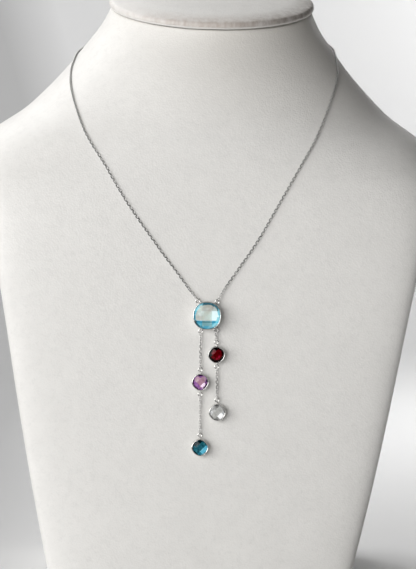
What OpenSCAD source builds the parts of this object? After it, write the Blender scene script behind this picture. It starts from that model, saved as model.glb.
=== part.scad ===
// Gemstone drop necklace on a plain leatherette neck bust, in millimetres.
// +Z is up, the front faces -Y, and the origin is on the flat base, under the middle of the neck.

/* [Bust] */
// Slant of the neck's top and its cap, with the front edge low
cap_slant = 17; // [14:1:18]
// Height of the cap's rim
cap_rim = 3.4; // [2.6:0.1:4.5]
// Rise of the cap's padded top above its rim
cap_dome = 2.4; // [1:0.2:4]
// How far the cap stands out past the neck
cap_overhang = 1.3; // [0.6:0.1:2]
// Seam between the neck and the cap
cap_seam = 0.3; // [0.2:0.1:0.5]

/* [Stones] */
// Width of the large cushion stone, flat to flat
large_stone = 10.3; // [9.8:0.1:10.6]
// Width of each small cushion stone, flat to flat
small_stone = 5.75; // [5.4:0.05:6]
// Stone thickness below the girdle, as a share of half its width
pavilion_share = 0.58; // [0.5:0.01:0.62]
// Stone thickness above the girdle, as a share of half its width
crown_share = 0.26; // [0.22:0.01:0.3]

/* [Settings] */
// Wall of the bezels
bezel_wall = 0.3; // [0.3:0.05:0.4]
// Gap between a stone and the metal round it
stone_gap = 0.08; // [0.06:0.01:0.1]
// Outer width of each soldered ring
ring_w = 2; // [1.9:0.1:2.1]
// Wire of the soldered rings
ring_wire = 0.4; // [0.36:0.02:0.4]

/* [Drops] */
// Height of the large stone above the base
pendant_height = 108; // [106:1:110]
// From ring to ring: large stone to the left strand's first stone
left_upper_run = 15.1; // [12:0.1:18]
// From ring to ring: the left strand's first stone to its second
left_lower_run = 16; // [12:0.1:18]
// From ring to ring: large stone to the right strand's first stone
right_upper_run = 4.95; // [4.9:0.05:8]
// From ring to ring: the right strand's first stone to its second
right_lower_run = 13; // [9:0.1:16]

/* [Chain] */
// Length of a link, outside
link_l = 1.64; // [1.6:0.01:1.7]
// Width of a link, outside
link_w = 1.15; // [1.12:0.01:1.2]
// Wire of a link
link_wire = 0.25; // [0.22:0.01:0.26]
// Clear gap between neighbouring links
link_gap = 0.1; // [0.1:0.01:0.12]

/* [Hidden] */
$fn = 48;

// Columns of the bust table, one row for each level
HEIGHT = 0;
HALF_W = 1;
FRONT = 2;
BACK = 3;
WIDEST = 4;
SQUARE = 5;
SLANT = 6;
MIDDLE = 7;
// Height at the widest line, half width, front, back and widest line along Y, squareness
// of the section (2 is an ellipse), share of the cap's slant, and the section's middle
// along X, because the padding leans a little to one side
BUST = [
    [0,   59.4, -50.0, 32.0, 0.0, 30.0, 0,    -1.1],
    [40,  68.1, -48.0, 31.0, 0.0, 30.0, 0,    -0.7],
    [80,  75.6, -46.0, 30.0, 0.0, 30.0, 0,    -0.4],
    [120, 82.7, -44.0, 30.0, 0.0, 28.0, 0,    -0.1],
    [142, 88.1, -42.0, 31.0, 0.0, 18.0, 0,    -0.2],
    [158, 93.1, -39.8, 32.5, 0.5, 8.5,  0,    -0.5],
    [168, 94.1, -38.2, 34.0, 1.5, 4.0,  0,    -0.9],
    [175, 91.4, -36.9, 35.0, 2.5, 2.8,  0,    -1.2],
    [181, 84.1, -35.5, 36.5, 3.5, 2.2,  0,    -1.4],
    [187, 75.2, -34.0, 38.0, 4.5, 2.0,  0,    -1.1],
    [193, 68.9, -32.4, 39.2, 5.5, 1.9,  0,    -0.8],
    [200, 62.2, -30.5, 40.4, 6.5, 1.9,  0.05, -0.7],
    [208, 55.5, -28.4, 41.6, 7.6, 1.9,  0.25, -0.6],
    [216, 49.5, -26.4, 42.6, 8.6, 1.9,  0.5,  -0.3],
    [223, 44.5, -25.1, 43.4, 9.2, 1.9,  0.75, 0.0],
    [230, 41.2, -24.4, 44.0, 9.5, 1.9,  1,    0.3],
];
TOP = BUST[len(BUST) - 1];
RINGS_PER_ROW = 2;
QUARTER_SIDES = 10;
// Crowds a section's points towards its side edges, where it turns
EDGE_CROWDING = 1.6;

// The chest is a flat slope where the pendant lies
chest_lean = atan((BUST[3][FRONT] - BUST[1][FRONT]) / (BUST[3][HEIGHT] - BUST[1][HEIGHT]));
chest_y = BUST[3][FRONT] + (pendant_height - BUST[3][HEIGHT]) * tan(chest_lean);
// Pieces lie this far off the leatherette
rest_gap = 0.3;
// Height of the rings and drop chains above the chest
ring_level = 1.2;

// Cushion outline: bow of its sides and reach of its corners, as shares of half its width
LARGE_BOW = 1.35;
LARGE_CORNER = 1.03;
SMALL_BOW = 1.3;
SMALL_CORNER = 1.04;
girdle_share = 0.05;
// Under the culet, down to the back of the setting
culet_gap = 0.25;
ledge_w = 0.35;
lip_w = 0.1;
lip_h = 0.35;
lip_taper = 0.2;
PAVILION_TILT = 50;
PAVILION_INNER_TILT = 24;
CROWN_TILT = 40;
// Pitch of the checkerboard's squares, as a share of half the stone's width
CHECKER_SHARE = 0.73;
DOME_SHARE = 0.8;
far = 30;

// The large stone's place and its rings
topaz_at = [-0.4, 0];
TOPAZ_RING_ANGLES = [123, 54, 249, 304];
topaz_ring_reach = 6.65;
small_ring_reach = 4.8;
// Each strand's top ring and how far it hangs off plumb
left_strand_at = topaz_at + topaz_ring_reach * [cos(249), sin(249)];
right_strand_at = topaz_at + topaz_ring_reach * [cos(304), sin(304)];
left_hang = 0.8;
right_hang = 1.8;
// How far down its strand each small stone lies
amethyst_down = left_upper_run + small_ring_reach;
teal_down = amethyst_down + 2 * small_ring_reach + left_lower_run;
garnet_down = right_upper_run + small_ring_reach;
clear_down = garnet_down + 2 * small_ring_reach + right_lower_run;

ring_r = (ring_w - ring_wire) / 2;
// From a ring's centre to the centre of the first link that hangs on it
link_reach = ring_r - (ring_wire + link_wire) / 2 - link_gap + (link_l - link_wire) / 2;
link_pitch_max = link_l - 2 * link_wire - link_gap;
LINK_END_POINTS = 6;
LINK_SIDES = 5;

// The neck chain's route from the large stone to the clasp, each side by hand
ROUTE_LEFT = [
    [-7.5, -45, 118], [-12, -44.5, 124], [-20.5, -43.5, 135], [-32.5, -41.5, 151.5],
    [-41.5, -38, 166], [-47.5, -34, 175], [-51, -29.5, 181.5], [-55, -20, 191.5],
    [-57, -11.5, 199], [-57, -3, 205], [-56, 1.5, 208], [-54.5, 9, 211.5],
    [-51.5, 16.5, 214], [-46, 24.5, 216], [-40, 30.5, 217.5], [-31, 36, 219],
    [-20.5, 40.5, 221], [-12, 42.5, 221.5]];
ROUTE_RIGHT = [
    [6, -45, 118], [11, -44.5, 125.5], [19, -43.5, 137.5], [28, -41, 153.5],
    [37, -37, 169.5], [41, -34, 176.5], [45, -28, 185], [48.5, -21.5, 193.5],
    [51, -14, 200.5], [52, -7.5, 205.5], [52, -1, 210.5], [51.5, 4, 213], [51, 10, 215],
    [48, 17.5, 218], [43.5, 25, 219.5], [36, 32.5, 220], [29, 36.5, 220], [20, 40.5, 220],
    [10.5, 42.5, 219.5]];
TUBE_SIDES = 8;
tube_d = link_w;
// The tube ends this far from the centre of the ring that it hangs on
tube_clear = ring_w / 2 + 0.3;

clasp_y = 43.6;
clasp_height = 221;
clasp_w = 6;
clasp_wire = 1;
clasp_lean = 8;
clasp_loop_x = clasp_w / 2 + ring_r;

SILVER = [0.86, 0.86, 0.85];

function mix(a, b, t) = a + (b - a) * t;

// Cubic through four evenly spaced values, between the second and the third
function spline(a, b, c, d, t) =
    b + 0.5 * t * ((c - a) + t * ((2 * a - 5 * b + 4 * c - d) + t * (3 * (b - c) + d - a)));

function around(list, i) =
    i < 0 ? 2 * list[0] - list[1]
    : i >= len(list) ? 2 * list[len(list) - 1] - list[len(list) - 2]
    : list[i];

function smooth(list, steps) = [
    for (i = [0 : len(list) - 2])
        for (k = [0 : steps - 1])
            spline(around(list, i - 1), list[i], list[i + 1], around(list, i + 2), k / steps),
    list[len(list) - 1]];

// A cubic between uneven levels, with each level's slope from its neighbours
function level_slope(i) =
    i == 0 ? (BUST[1] - BUST[0]) / (BUST[1][HEIGHT] - BUST[0][HEIGHT])
    : i == len(BUST) - 1 ? (BUST[i] - BUST[i - 1]) / (BUST[i][HEIGHT] - BUST[i - 1][HEIGHT])
    : (BUST[i + 1] - BUST[i - 1]) / (BUST[i + 1][HEIGHT] - BUST[i - 1][HEIGHT]);

function level(i, t) =
    let (span = BUST[i + 1][HEIGHT] - BUST[i][HEIGHT],
         s = t * t * (3 - 2 * t))
    mix(BUST[i], BUST[i + 1], s)
        + span * (t * (1 - t) * (1 - t) * level_slope(i) - t * t * (1 - t) * level_slope(i + 1));

// Angles of a section's points, the front's middle first
function section_angle(i) =
    let (q = floor(i / QUARTER_SIDES), k = i % QUARTER_SIDES,
         crowd = 1 - pow(1 - k / QUARTER_SIDES, EDGE_CROWDING),
         back = pow(k / QUARTER_SIDES, EDGE_CROWDING))
    90 * (q + (q % 2 == 0 ? crowd : back));

function section_point(row, a) =
    let (c = cos(a),
         depth = c > 0 ? row[WIDEST] - row[FRONT] : row[BACK] - row[WIDEST],
         y = -sign(c) * depth * pow(abs(c), 2 / row[SQUARE]))
    [row[MIDDLE] + row[HALF_W] * sin(a),
     row[WIDEST] + y,
     row[HEIGHT] + y * row[SLANT] * tan(cap_slant)];

function bust_ring(row) =
    [for (i = [0 : 4 * QUARTER_SIDES - 1]) section_point(row, section_angle(i))];

// One solid through rings of the same number of points, closed at both ends
module loft(rings) {
    n = len(rings[0]);
    last = len(rings) - 1;
    polyhedron(
        points = [for (r = rings) each r],
        faces = [
            [for (i = [0 : n - 1]) i],
            for (r = [0 : last - 1], i = [0 : n - 1])
                each [[r * n + i, (r + 1) * n + i, (r + 1) * n + (i + 1) % n],
                      [r * n + i, (r + 1) * n + (i + 1) % n, r * n + (i + 1) % n]],
            [for (i = [n - 1 : -1 : 0]) last * n + i]]);
}

module bust_body() {
    color([0.9, 0.89, 0.87])
        loft([
            for (i = [0 : len(BUST) - 2], k = [0 : RINGS_PER_ROW - 1])
                bust_ring(level(i, k / RINGS_PER_ROW)),
            bust_ring(TOP)]);
}

// Columns: inset from the cap's widest edge, height above its underside
function cap_profile() = [
    [1.4, 0],
    [0.4, cap_rim * 0.14],
    [0, cap_rim * 0.42],
    [0.2, cap_rim * 0.72],
    [0.9, cap_rim * 0.93],
    [2.2, cap_rim],
    [7, cap_rim + cap_dome * 0.4],
    [15, cap_rim + cap_dome * 0.75],
    [26, cap_rim + cap_dome]];

module neck_cap() {
    half_x = TOP[HALF_W] + cap_overhang;
    half_y = (TOP[BACK] - TOP[FRONT]) / 2 / cos(cap_slant) + cap_overhang;
    color([0.88, 0.87, 0.84])
        translate([TOP[MIDDLE], TOP[WIDEST], TOP[HEIGHT]])
        rotate([cap_slant, 0, 0])
        translate([0, 0, cap_seam])
        loft([
            for (p = cap_profile())
                [for (i = [0 : 4 * QUARTER_SIDES - 1])
                    [(half_x - p[0]) * sin(90 * i / QUARTER_SIDES),
                     -(half_y - p[0]) * cos(90 * i / QUARTER_SIDES),
                     p[1]]]]);
}

// Puts a piece that is drawn flat, with +Y up the chest and +Z outwards, on the chest
module on_chest() {
    translate([0, chest_y, pendant_height])
        rotate([90 - chest_lean, 0, 0])
        children();
}

function on_chest_point(p) =
    [p[0],
     chest_y + p[1] * sin(chest_lean) - p[2] * cos(chest_lean),
     pendant_height + p[1] * cos(chest_lean) + p[2] * sin(chest_lean)];

// Puts a piece a given way down a strand, in the strand's own line
module on_strand(start, hang, down) {
    on_chest()
        translate([start[0], start[1], 0])
        rotate([0, 0, hang])
        translate([0, -down, 0])
        children();
}

// A cushion: four bowed sides and a round that takes off the corners
module cushion(half, corner, bow, h, taper = 0) {
    intersection() {
        cylinder(r1 = corner, r2 = corner - taper, h = h);
        for_side(0, half, bow, h, taper);
        for_side(90, half, bow, h, taper);
        for_side(180, half, bow, h, taper);
        for_side(270, half, bow, h, taper);
    }
}

module for_side(a, half, bow, h, taper) {
    rotate([0, 0, a])
        translate([half - bow, 0, 0])
        cylinder(r1 = bow, r2 = bow - taper, h = h);
}

// How far a cushion reaches in a direction
function cushion_reach(half, corner, bow, a) =
    let (t = abs((a + 45) % 90 - 45))
    min(corner, sqrt(bow * bow - pow((bow - half) * sin(t), 2)) - (bow - half) * cos(t));

// All that lies below a facet with this direction and tilt, through a point at reach and height
module below_facet(direction, tilt, reach, height) {
    rotate([0, tilt, direction])
        translate([-far, -far, reach * sin(tilt) + height * cos(tilt) - 2 * far])
        cube(2 * far);
}

// A stone with its girdle's underside at height 0: a table in a checkerboard crown,
// a bevelled rim, and two tiers of pavilion facets with a flat culet
module cushion_stone(half, corner, bow) {
    girdle = girdle_share * half;
    crown = crown_share * half;
    pavilion = pavilion_share * half;
    pitch = CHECKER_SHARE * half;
    // The squares are flat facets of a dome that falls by most of the crown at the stone's edge
    fall = DOME_SHARE * crown / (half * half);
    // The inner pavilion facets would meet a little below the culet
    tip = pavilion * 1.1;
    intersection() {
        translate([0, 0, -pavilion])
            cushion(half, corner, bow, pavilion + girdle + crown);
        intersection_for (i = [-1 : 1])
            intersection_for (j = [-1 : 1])
                below_facet(
                    atan2(j, i),
                    atan(2 * fall * pitch * norm([i, j])),
                    pitch * norm([i, j]),
                    girdle + crown - fall * pitch * pitch * (i * i + j * j));
        intersection_for (k = [0 : 7])
            below_facet(45 * k, CROWN_TILT, cushion_reach(half, corner, bow, 45 * k), girdle);
        intersection_for (k = [0 : 7])
            below_facet(22.5 + 45 * k, PAVILION_TILT,
                cushion_reach(half, corner, bow, 22.5 + 45 * k), girdle);
        intersection_for (k = [0 : 15])
            below_facet(22.5 * k, 180 - PAVILION_TILT,
                cushion_reach(half, corner, bow, 22.5 * k), 0);
        intersection_for (k = [0 : 7])
            below_facet(22.5 + 45 * k, 180 - PAVILION_INNER_TILT, 0, -tip);
    }
}

// From the back of a setting up to its stone's girdle
function seat_height(half) = culet_gap + pavilion_share * half;

module soldered_ring(a, reach, neck_from) {
    rotate([0, 0, a])
        translate([0, 0, ring_level - rest_gap]) {
            translate([reach, 0, 0])
                rotate_extrude()
                translate([ring_r, 0])
                circle(d = ring_wire, $fn = 16);
            translate([neck_from, 0, 0])
                rotate([0, 90, 0])
                cylinder(d = ring_wire, h = reach - ring_r - neck_from, $fn = 16);
        }
}

// An open-backed bezel, its back at height 0, with a ledge under the girdle and a thin lip
module bezel(half, corner, bow, ring_angles, reach) {
    seat = seat_height(half);
    ledge = seat - ledge_w * tan(PAVILION_TILT) - 2 * stone_gap;
    lip = seat + girdle_share * half + lip_w * tan(PAVILION_TILT) + 2 * stone_gap;
    out = stone_gap + bezel_wall;
    difference() {
        union() {
            cushion(half + out, corner + out, bow + out, lip);
            translate([0, 0, lip])
                cushion(half + out, corner + out, bow + out, lip_h, lip_taper);
            for (a = ring_angles)
                soldered_ring(a, reach, cushion_reach(half, corner, bow, a) + out / 2);
        }
        translate([0, 0, -1])
            cushion(half - ledge_w, corner - ledge_w, bow - ledge_w, ledge + 2);
        translate([0, 0, ledge])
            cushion(half + stone_gap, corner + stone_gap, bow + stone_gap, lip - ledge);
        translate([0, 0, lip - 0.1])
            cushion(half - lip_w, corner - lip_w, bow - lip_w, lip_h + 1);
    }
}

module large_half() {
    on_chest()
        translate([topaz_at[0], topaz_at[1], rest_gap])
        children();
}

module topaz_setting() {
    half = large_stone / 2;
    color(SILVER)
        large_half()
        bezel(half, half * LARGE_CORNER, half * LARGE_BOW, TOPAZ_RING_ANGLES, topaz_ring_reach);
}

module topaz_stone() {
    half = large_stone / 2;
    color([0.45, 0.78, 0.9])
        large_half()
        translate([0, 0, seat_height(half)])
        cushion_stone(half, half * LARGE_CORNER, half * LARGE_BOW);
}

// A small stone's bezel is set on its point, with rings at the top and maybe the bottom
module small_setting(start, hang, down, ends) {
    half = small_stone / 2;
    color(SILVER)
        on_strand(start, hang, down)
        translate([0, 0, rest_gap])
        rotate([0, 0, 45])
        bezel(half, half * SMALL_CORNER, half * SMALL_BOW, ends, small_ring_reach);
}

module small_gem(start, hang, down, tint) {
    half = small_stone / 2;
    color(tint)
        on_strand(start, hang, down)
        translate([0, 0, rest_gap + seat_height(half)])
        rotate([0, 0, 45])
        cushion_stone(half, half * SMALL_CORNER, half * SMALL_BOW);
}

// Ring directions on a small bezel before it is turned on its point
UP_AND_DOWN = [45, 225];
UP = [45];

// A link's wire: a closed loop of rings round a long oval, in the XY plane along Y
function link_path() =
    let (r = (link_w - link_wire) / 2, s = (link_l - link_w) / 2)
    [for (e = [0, 1], i = [0 : LINK_END_POINTS - 1])
        let (a = 180 * e + 180 * i / (LINK_END_POINTS - 1))
        [r * cos(a), r * sin(a) + (e == 0 ? s : -s), a]];

module link() {
    path = link_path();
    n = len(path);
    polyhedron(
        points = [for (p = path, k = [0 : LINK_SIDES - 1])
            let (b = 360 * k / LINK_SIDES, r = link_wire / 2)
            [p[0] + r * cos(b) * cos(p[2]), p[1] + r * cos(b) * sin(p[2]), r * sin(b)]],
        faces = [for (i = [0 : n - 1], k = [0 : LINK_SIDES - 1])
            let (j = (i + 1) % n, m = (k + 1) % LINK_SIDES)
            each [[i * LINK_SIDES + k, i * LINK_SIDES + m, j * LINK_SIDES + m],
                  [i * LINK_SIDES + k, j * LINK_SIDES + m, j * LINK_SIDES + k]]]);
}

// Interlocked links from one ring's centre to the next one's, run below it
module drop_chain(start, hang, down, run) {
    steps = ceil((run - 2 * link_reach) / link_pitch_max - 0.001);
    pitch = (run - 2 * link_reach) / steps;
    // The first and last link stand across their rings, and the chain twists a little between
    turn = 180 * round(steps / 2 - 0.01) / steps;
    color(SILVER)
        for (i = [0 : steps])
            on_strand(start, hang, down + link_reach + i * pitch)
            translate([0, 0, ring_level])
            rotate([0, 90 + i * turn, 0])
            link();
}

module drop_chain_left_upper() {
    drop_chain(left_strand_at, left_hang, 0, left_upper_run);
}

module drop_chain_left_lower() {
    drop_chain(left_strand_at, left_hang, amethyst_down + small_ring_reach, left_lower_run);
}

module drop_chain_right_upper() {
    drop_chain(right_strand_at, right_hang, 0, right_upper_run);
}

module drop_chain_right_lower() {
    drop_chain(right_strand_at, right_hang, garnet_down + small_ring_reach, right_lower_run);
}

module amethyst_setting() {
    small_setting(left_strand_at, left_hang, amethyst_down, UP_AND_DOWN);
}

module amethyst_stone() {
    small_gem(left_strand_at, left_hang, amethyst_down, [0.6, 0.35, 0.65]);
}

module teal_setting() {
    small_setting(left_strand_at, left_hang, teal_down, UP);
}

module teal_stone() {
    small_gem(left_strand_at, left_hang, teal_down, [0.1, 0.35, 0.42]);
}

module garnet_setting() {
    small_setting(right_strand_at, right_hang, garnet_down, UP_AND_DOWN);
}

module garnet_stone() {
    small_gem(right_strand_at, right_hang, garnet_down, [0.4, 0.02, 0.05]);
}

module clear_setting() {
    small_setting(right_strand_at, right_hang, clear_down, UP);
}

module clear_stone() {
    small_gem(right_strand_at, right_hang, clear_down, [0.88, 0.9, 0.92]);
}

function topaz_ring_point(i) =
    on_chest_point([
        topaz_at[0] + topaz_ring_reach * cos(TOPAZ_RING_ANGLES[i]),
        topaz_at[1] + topaz_ring_reach * sin(TOPAZ_RING_ANGLES[i]),
        ring_level]);

function unit(v) = v / norm(v);

function toward(a, b, d) = a + d * unit(b - a);

function clasp_loop(side) = [side * clasp_loop_x, clasp_y, clasp_height];

// The route with both ends pulled back from the centres of their rings
function tube_route(start, route, end) =
    [toward(start, route[0], tube_clear), each route,
     toward(end, route[len(route) - 1], tube_clear)];

function tube_ring(path, i) =
    let (along = unit(path[min(i + 1, len(path) - 1)] - path[max(i - 1, 0)]),
         side = unit(cross([0, 0, 1], along)),
         rise = cross(along, side))
    [for (k = [0 : TUBE_SIDES - 1])
        path[i] + tube_d / 2 * (cos(360 * k / TUBE_SIDES) * side + sin(360 * k / TUBE_SIDES) * rise)];

module neck_tube(start, route, end) {
    path = smooth(tube_route(start, route, end), 2);
    color(SILVER)
        loft([for (i = [0 : len(path) - 1]) tube_ring(path, i)]);
}

module neck_chain_left() {
    neck_tube(topaz_ring_point(0), ROUTE_LEFT, clasp_loop(-1));
}

module neck_chain_right() {
    neck_tube(topaz_ring_point(1), ROUTE_RIGHT, clasp_loop(1));
}

// A plain ring clasp, flat against the neck, with a soldered loop on each side
module clasp() {
    color(SILVER)
        translate([0, clasp_y, clasp_height])
        rotate([90 - clasp_lean, 0, 0]) {
            rotate_extrude()
                translate([(clasp_w - clasp_wire) / 2, 0])
                circle(d = clasp_wire, $fn = 24);
            for (side = [-1, 1])
                translate([side * clasp_loop_x, 0, 0])
                rotate_extrude()
                translate([ring_r, 0])
                circle(d = ring_wire, $fn = 16);
        }
}

bust_body();
neck_cap();
neck_chain_left();
neck_chain_right();
clasp();
topaz_setting();
topaz_stone();
amethyst_setting();
amethyst_stone();
teal_setting();
teal_stone();
garnet_setting();
garnet_stone();
clear_setting();
clear_stone();
drop_chain_left_upper();
drop_chain_left_lower();
drop_chain_right_upper();
drop_chain_right_lower();
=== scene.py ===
"""A gemstone drop necklace on a leatherette neck bust, finished for a studio picture."""

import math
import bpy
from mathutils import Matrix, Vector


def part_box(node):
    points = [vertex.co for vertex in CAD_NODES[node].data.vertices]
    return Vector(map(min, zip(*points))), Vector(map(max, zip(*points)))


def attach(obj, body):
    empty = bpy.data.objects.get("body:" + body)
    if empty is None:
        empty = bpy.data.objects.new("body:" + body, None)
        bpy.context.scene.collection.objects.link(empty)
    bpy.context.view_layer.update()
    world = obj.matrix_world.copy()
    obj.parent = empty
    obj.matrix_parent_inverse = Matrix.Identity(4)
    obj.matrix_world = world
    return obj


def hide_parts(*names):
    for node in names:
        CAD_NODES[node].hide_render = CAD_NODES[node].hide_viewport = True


bl_info = {
    "name": "Gemstone Drop Necklace",
    "version": (1, 0, 0),
    "blender": (4, 5, 0),
    "location": "3D View > Sidebar > Necklace",
    "description": "Covers a neck bust in leatherette and dresses it with a silver gemstone necklace",
    "category": "Add Mesh",
}

import bpy
from bpy.props import FloatProperty, FloatVectorProperty, IntProperty, PointerProperty
from mathutils import Matrix, Vector
from mathutils.bvhtree import BVHTree

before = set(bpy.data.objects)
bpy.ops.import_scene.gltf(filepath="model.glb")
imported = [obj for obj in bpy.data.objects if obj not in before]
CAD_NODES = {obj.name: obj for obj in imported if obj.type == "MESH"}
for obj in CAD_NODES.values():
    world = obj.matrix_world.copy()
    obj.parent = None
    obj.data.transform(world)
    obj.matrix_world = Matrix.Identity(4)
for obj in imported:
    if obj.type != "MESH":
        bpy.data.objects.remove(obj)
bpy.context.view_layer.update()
BODY = "root"
MM = 0.001
# Each stone's panes by tone: its table, the eight round that and the sixteen of its rim, both
# anticlockwise from the right. The tones paint the stone's colour with the light, shade and
# reflections
# its facets show: h is the heart's tone, p pale, m muted, w white (a painted highlight), c clear,
# b bright, s slate and d deep (both painted shade). Then where the rim starts and how far its bits
# scatter inwards
STONE_PANES = {
    "topaz": ("p", "whhpmbsb", "ccdddbccbddbbbcc", 0.82, 0.16),
    "amethyst": ("h", "bhbhbbhw", "ddbddbbddbddbbdd", 0.8, 0.2),
    "teal": ("h", "phddhhbp", "pbdddddddbddbbpp", 0.84, 0.14),
    "garnet": ("h", "hhdhdhbb", "dddddddddddddddd", 0.72, 0.14),
    "clear": ("h", "phbbphbw", "dbbpddwwbhbdbpwp", 0.88, 0.14),
}

# How many panes the rim has, and the tilts in degrees at which the table and the crown end
RIM_PANES = 16
TABLE_TILT = 8
CROWN_TILT = 30

# Each stone's refractive index and its share of the clarity
STONE_OPTICS = {
    "topaz": (1.62, 1), "amethyst": (1.55, 0.8), "teal": (1.62, 0.4), "garnet": (1.76, 0.15),
    "clear": (1.62, 1)}

# The bits that show through a stone: how many lie across its half width, how soft the rim's edge
# is and how much lighter or deeper a bit can be
BITS_ACROSS = 4
RIM_SOFTNESS = 0.05
BIT_DEPTHS = (0.75, 1.35)

# The large stone's back edge: where it shows, how far off that its line fades and how deep it is
TOPAZ_SHELF = -0.47
SHELF_LINE = (0.01, 0.06)
SHELF_DEPTH = 1.6

# The chest is a flat slope where the pendant lies; its local +Y runs up it and +Z outwards
CHEST_LEAN = math.atan(4 / 80)
CHEST_AT = (0, -44.6 * MM, 108 * MM)
CHEST = Matrix.Translation(CHEST_AT) @ Matrix.Rotation(math.radians(90) - CHEST_LEAN, 4, "X")
REST_GAP = 0.3 * MM
RING_LEVEL = 1.2 * MM

# The large stone's place on the chest and the directions of its rings
TOPAZ_AT = Vector((-0.4, 0, 0)) * MM
TOPAZ_RING_ANGLES = (123, 54, 249, 304)
TOPAZ_RING_REACH = 6.65 * MM
SMALL_RING_REACH = 4.8 * MM

# Each strand's top ring and its hang off plumb, and how far down it each stone lies
LEFT_STRAND = (TOPAZ_RING_ANGLES[2], 0.8)
RIGHT_STRAND = (TOPAZ_RING_ANGLES[3], 1.8)
AMETHYST_DOWN = 19.9 * MM
TEAL_DOWN = 45.5 * MM
GARNET_DOWN = 9.75 * MM
CLEAR_DOWN = 32.35 * MM

# The directions of each setting's rings, in degrees. A ring's stalk starts in the bezel's wall,
# this far off the stone, and its radius is a share of the ring's wire
SETTING_RINGS = {
    "topaz": TOPAZ_RING_ANGLES, "amethyst": (45, 225), "teal": (45,), "garnet": (45, 225),
    "clear": (45,)}
STALK_FROM = 0.2 * MM
STALK_SHARE = 0.55

# How far a cushion's corners reach and the radius of its bowed sides, by its half width, and the
# height of a stone's girdle
LARGE_CUSHION = (1.03, 1.35)
SMALL_CUSHION = (1.04, 1.3)
GIRDLE_BASE = 0.25 * MM
GIRDLE_SHARE = 0.58

# The neck chain's route from the large stone to the clasp, for each side
ROUTE_LEFT = (
    (-7.5, -45, 118), (-12, -44.5, 124), (-20.5, -43.5, 135), (-32.5, -41.5, 151.5),
    (-41.5, -38, 166), (-47.5, -34, 175), (-51, -29.5, 181.5), (-55, -20, 191.5),
    (-57, -11.5, 199), (-57, -3, 205), (-56, 1.5, 208), (-54.5, 9, 211.5),
    (-51.5, 16.5, 214), (-46, 24.5, 216), (-40, 30.5, 217.5), (-31, 36, 219),
    (-20.5, 40.5, 221), (-12, 42.5, 221.5),
)
ROUTE_RIGHT = (
    (6, -45, 118), (11, -44.5, 125.5), (19, -43.5, 137.5), (28, -41, 153.5),
    (37, -37, 169.5), (41, -34, 176.5), (45, -28, 185), (48.5, -21.5, 193.5),
    (51, -14, 200.5), (52, -7.5, 205.5), (52, -1, 210.5), (51.5, 4, 213), (51, 10, 215),
    (48, 17.5, 218), (43.5, 25, 219.5), (36, 32.5, 220), (29, 36.5, 220), (20, 40.5, 220),
    (10.5, 42.5, 219.5),
)

# How far the route runs straight out of its rings, and its points between two of the above
ROUTE_CLEAR = 1.3 * MM
ROUTE_STEPS = 8

# How high a leaning link's middle lies over the leatherette, and how far from its end rings the
# chain comes down to it
SEAT_HEIGHT = 0.5 * MM
SEAT_RUN = 12 * MM

# A link is painted darker, as shade between links and against the leatherette, towards its ends
# and on its low side, from these distances off its middle
CROOK_FROM = 0.48 * MM
CROOK_FADE = 0.12 * MM
LOW_SIDE_FROM = 0.12 * MM
LOW_SIDE_FADE = 0.12 * MM

CLASP_AT = Vector((0, 43.6, 221)) * MM
CLASP_LEAN = 82
CLASP_LOOP_X = 3.8 * MM
CLASP_RADIUS = 2.5 * MM
CLASP_WIRE = 1 * MM

# The cap's slanted underside: a place on it, its lean, and half its width
CAP_AT = Vector((0.3, 9.5, 230)) * MM
CAP_LEAN = math.radians(17)
CAP_HALF_WIDTH = 42.5 * MM

# The top of the cap's seam, and the heights over which its band starts and ends
SEAM_TOP = 0.55 * MM
BAND_START = (1.2 * MM, 1.7 * MM)
BAND_END = (3.2 * MM, 4.9 * MM)

# The band by shares of the cap's half width: where it grows strong, and where it is painted darker
# as shade on the side turned from the light
BAND_STRONG = (-0.85, -0.25)
BAND_SHADED_SIDE = (0.1, 0.7)
# How dark the band's painted shade gets; the seam under the cap is partly a dark joint and partly
# painted shadow in its gap
BAND_SHADE = 0.55
SEAM_SHADE = 0.2
SEAM_STRENGTH = 0.9

# Where the neck is painted darker, as shade under the cap's overhang, upwards and to the right
CAP_SHADE_UP = (178 * MM, 232 * MM)
CAP_SHADE_ACROSS = (-45 * MM, 5 * MM)

# The leatherette's and the silver's noises: scale, detail and roughness
CREASES = (420, 4, 0.6)
PATCHES = (28, 4, 0.55)
MOTTLING = (130, 5, 0.7)
SPECKS = (420, 3, 0.8)
RUBBING = (900, 4, 0.6)
TARNISH = (350, 3, 0.5)
CROOK_SHADE_NOISE = (800, 2, 0.5)

# How much of their colour the darker places keep
PATCH_SHADE = 0.97
MOTTLING_SHADE = 0.91
SPECK_SHADE = 0.85
TARNISH_SHADE = 0.86
# How much of its colour the chain keeps where its painted shade is deepest
CROOK_PAINTED_SHADE = 0.06

# How high creases and gathers stand by the grain's pebbles, and each relief's depth and strength
CREASE_HEIGHT = 1.2
GATHER_HEIGHT = 4
GRAIN_RELIEF = (0.06 * MM, 0.55)
RUBBED_RELIEF = (0.01 * MM, 0.2)

# The lowest and highest roughness, and how the chain's silver differs from the settings'
LEATHER_POLISH = (0.45, 0.54)
SETTING_POLISH = (0.06, 0.12)
CHAIN_POLISH = (0.28, 0.34)
CHAIN_SHADE = 1.12
CHAIN_METALLIC = 0.5

# How firmly the bust's base and the neck's rim keep their edges, the angles up to which the
# leatherette is smooth and a facet flat, and the distances within which corners are merged
EDGE_CREASE = 0.8
LEATHER_ANGLE = math.radians(50)
FACET_ANGLE = math.radians(1)
CAD_WELD = 0.002 * MM
WELD = 0.001 * MM

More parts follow.
